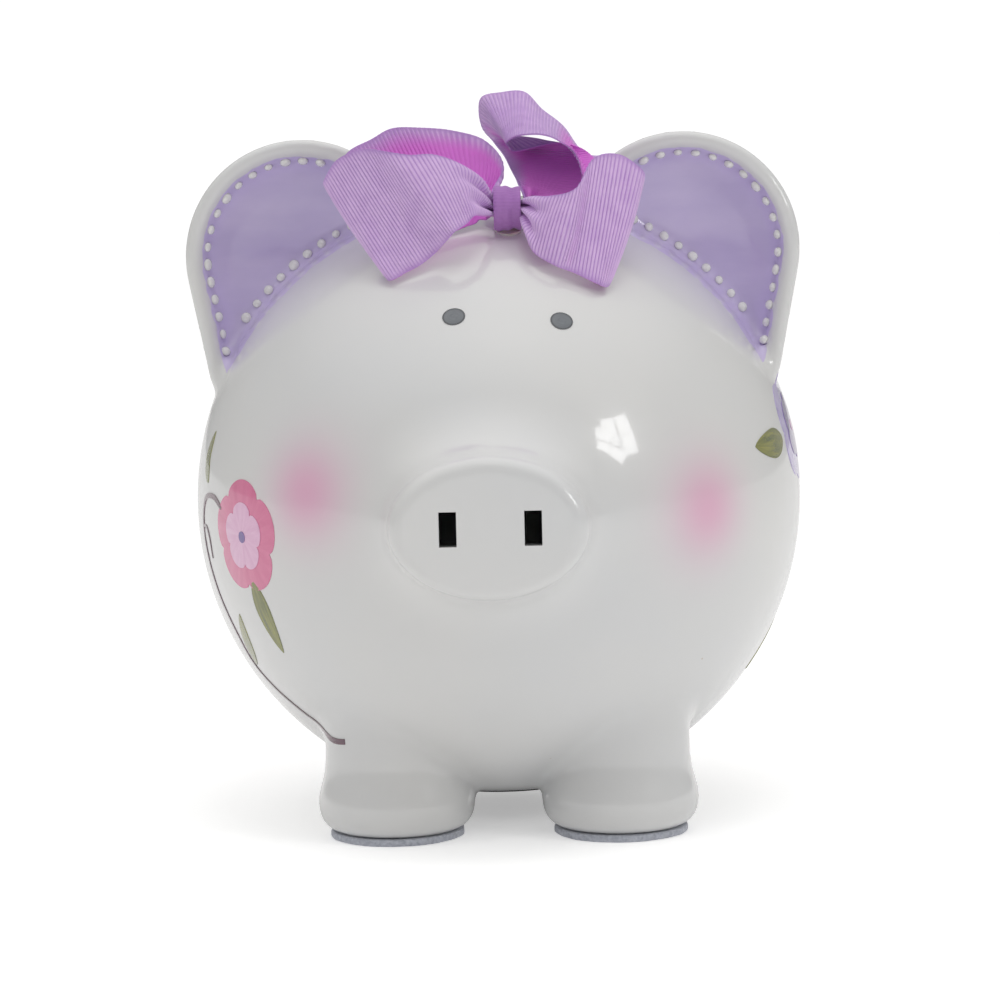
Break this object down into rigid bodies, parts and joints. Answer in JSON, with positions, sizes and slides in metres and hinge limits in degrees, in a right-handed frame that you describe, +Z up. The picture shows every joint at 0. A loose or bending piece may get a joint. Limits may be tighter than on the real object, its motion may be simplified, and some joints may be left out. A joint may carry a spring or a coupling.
{
  "type": "piggy bank",
  "caption": "Hollow glazed ceramic pig that saves coins, with a coin slot on top, a pull-out belly stopper, cupped ears and a ribbon bow.",
  "frame": {"origin": "on the floor, under the middle of the bounding box", "axes": "+Z up; the snout points along -Y and the tail along +Y; +X is the pig's own left"},
  "size_m": [0.176, 0.2163, 0.2094],
  "materials": {
    "glaze": "glossy white glaze over painted flowers, eyes and blush",
    "stopper_rubber": "moulded soft rubber",
    "pad_felt": "pressed felt",
    "ribbon": "ribbed grosgrain with a soft sheen",
    "thread": "twisted sewing thread",
    "glue": "set hot-melt glue"
  },
  "bodies": {
    "bank": {"ceramic_body": "glaze", "left_ear": "glaze", "right_ear": "glaze", "tail": "glaze", "front_left_foot_pad": "pad_felt", "front_right_foot_pad": "pad_felt", "rear_left_foot_pad": "pad_felt", "rear_right_foot_pad": "pad_felt", "bow_ribbon": "ribbon", "bow_knot": "ribbon", "bow_thread": "thread", "bow_glue": "glue"},
    "stopper": {"belly_stopper": "stopper_rubber"}
  },
  "joints": [
    {"name": "stopper_pull", "type": "slide", "parent": "bank", "child": "stopper", "axis": [0, 0, -1], "range_m": [0, 0.022]}
  ]
}
